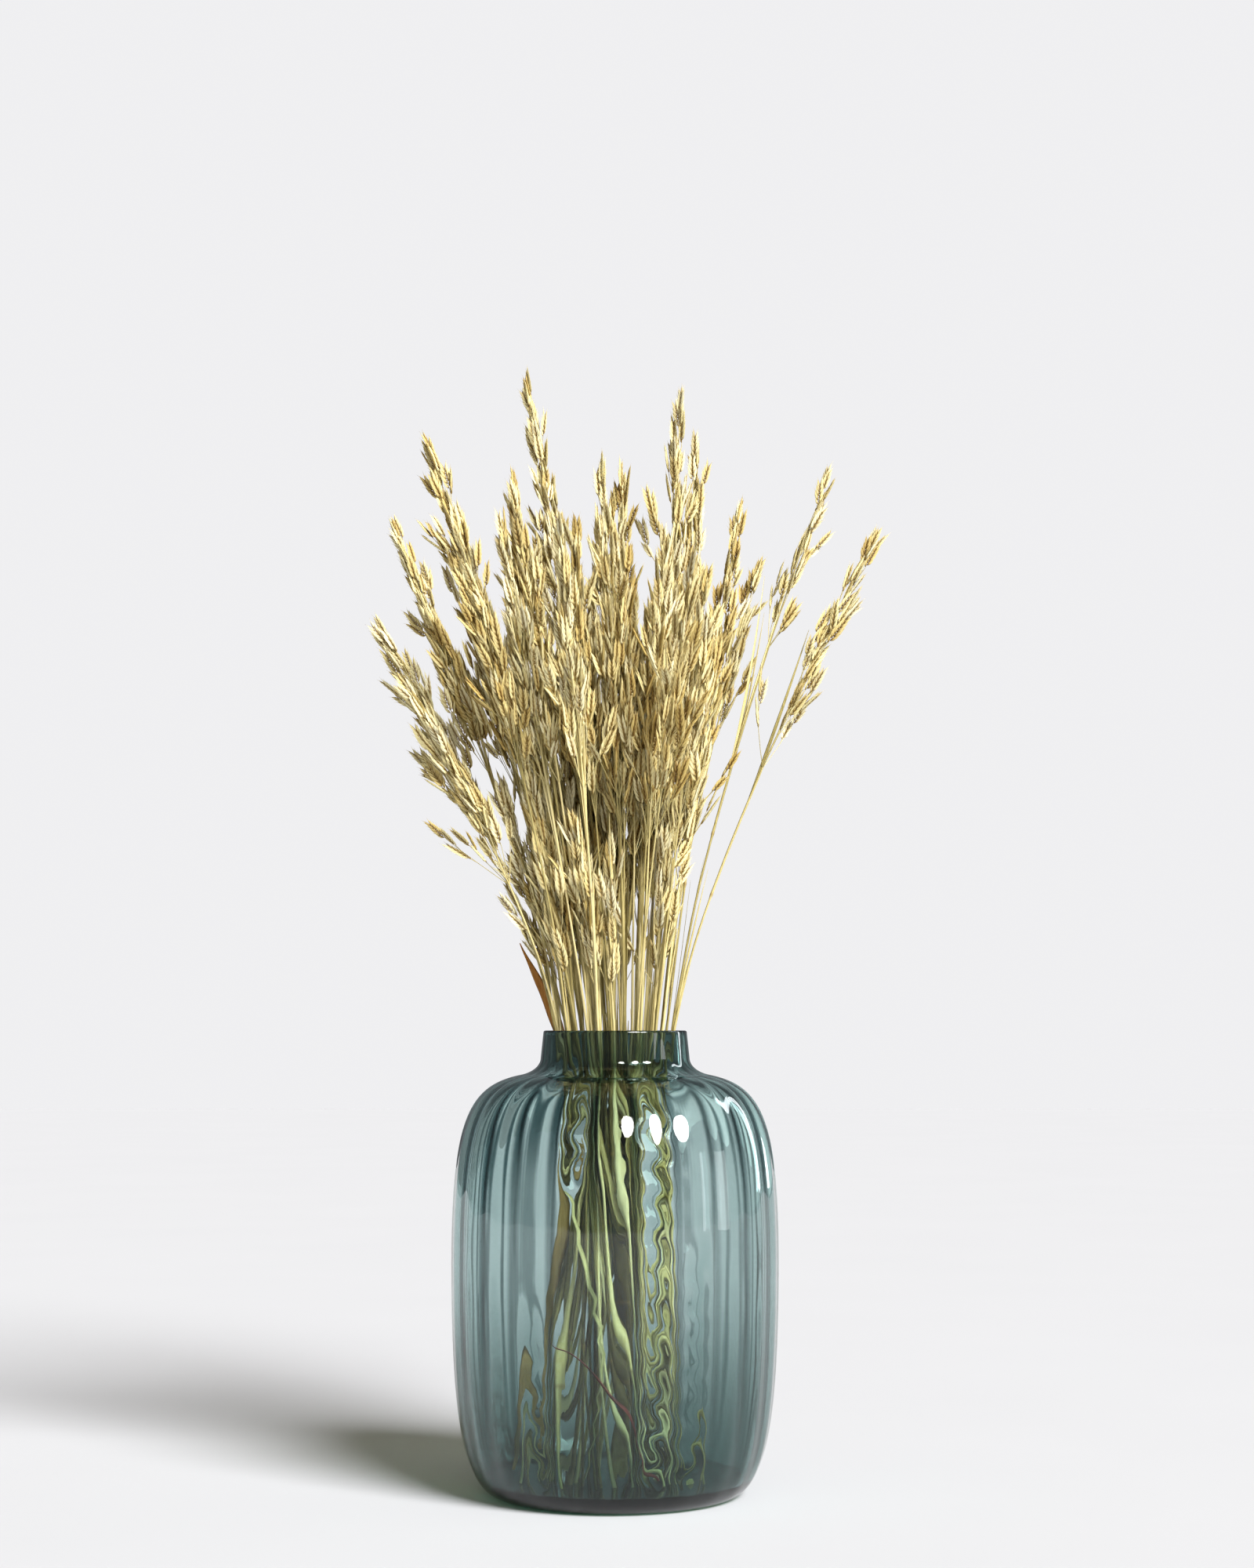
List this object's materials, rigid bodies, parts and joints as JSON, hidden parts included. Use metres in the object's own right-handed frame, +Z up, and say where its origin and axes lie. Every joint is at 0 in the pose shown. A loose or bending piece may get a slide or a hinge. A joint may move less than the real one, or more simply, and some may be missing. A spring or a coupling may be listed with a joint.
{
  "type": "bundle of dried brome grass in a ribbed glass vase",
  "caption": "Upright bundle of dried brome grass, slender culms with drooping spikelet panicles and a few curled leaf blades, standing in a short-necked ribbed glass vase.",
  "frame": {"origin": "centre of the vase's underside, on the surface it stands on", "axes": "+Z up along the vase's axis, -Y the front of the bunch, +X its right side seen from the front"},
  "size_m": [0.295, 0.228, 0.646],
  "materials": {
    "vase_glass": "clear teal, glossy",
    "dried_grass": "dry straw, satin",
    "pale_leaf": "dry, satin",
    "brown_leaf": "dry, satin",
    "red_leaf": "dry, satin"
  },
  "bodies": {
    "root": {"glass_vase": "vase_glass", "brome_stem_01": "dried_grass", "brome_stem_02": "dried_grass", "brome_stem_03": "dried_grass", "brome_stem_04": "dried_grass", "brome_stem_05": "dried_grass", "brome_stem_06": "dried_grass", "brome_stem_07": "dried_grass", "brome_stem_08": "dried_grass", "brome_stem_09": "dried_grass", "brome_stem_10": "dried_grass", "brome_stem_11": "dried_grass", "brome_stem_12": "dried_grass", "brome_stem_13": "dried_grass", "brome_stem_14": "dried_grass", "brome_stem_15": "dried_grass", "brome_stem_16": "dried_grass", "brome_stem_17": "dried_grass", "brome_stem_18": "dried_grass", "brome_stem_19": "dried_grass", "brome_stem_20": "dried_grass", "brome_stem_21": "dried_grass", "brome_stem_22": "dried_grass", "brome_stem_23": "dried_grass", "brome_stem_24": "dried_grass", "brome_stem_25": "dried_grass", "brome_stem_26": "dried_grass", "brome_stem_27": "dried_grass", "brome_stem_28": "dried_grass", "brome_stem_29": "dried_grass", "brome_stem_30": "dried_grass", "brome_stem_31": "dried_grass", "brome_stem_32": "dried_grass", "brome_stem_33": "dried_grass", "brome_stem_34": "dried_grass", "brome_stem_35": "dried_grass", "brome_stem_36": "dried_grass", "brome_stem_37": "dried_grass", "brome_stem_38": "dried_grass", "brome_stem_39": "dried_grass", "brome_stem_40": "dried_grass", "brome_stem_41": "dried_grass", "brome_stem_42": "dried_grass", "brome_stem_43": "dried_grass", "stray_stem_01": "dried_grass", "stray_stem_02": "dried_grass", "stray_stem_03": "dried_grass", "stray_stem_04": "dried_grass", "stray_stem_05": "dried_grass", "stray_stem_06": "dried_grass", "stray_stem_07": "dried_grass", "stray_stem_08": "dried_grass", "stray_stem_09": "dried_grass", "stray_stem_10": "dried_grass", "stray_stem_11": "dried_grass", "stray_stem_12": "dried_grass", "leaf_blade_over_rim": "brown_leaf", "leaf_blade_broad": "pale_leaf", "leaf_blade_brown": "brown_leaf", "leaf_blade_red": "red_leaf"}
  },
  "joints": []
}
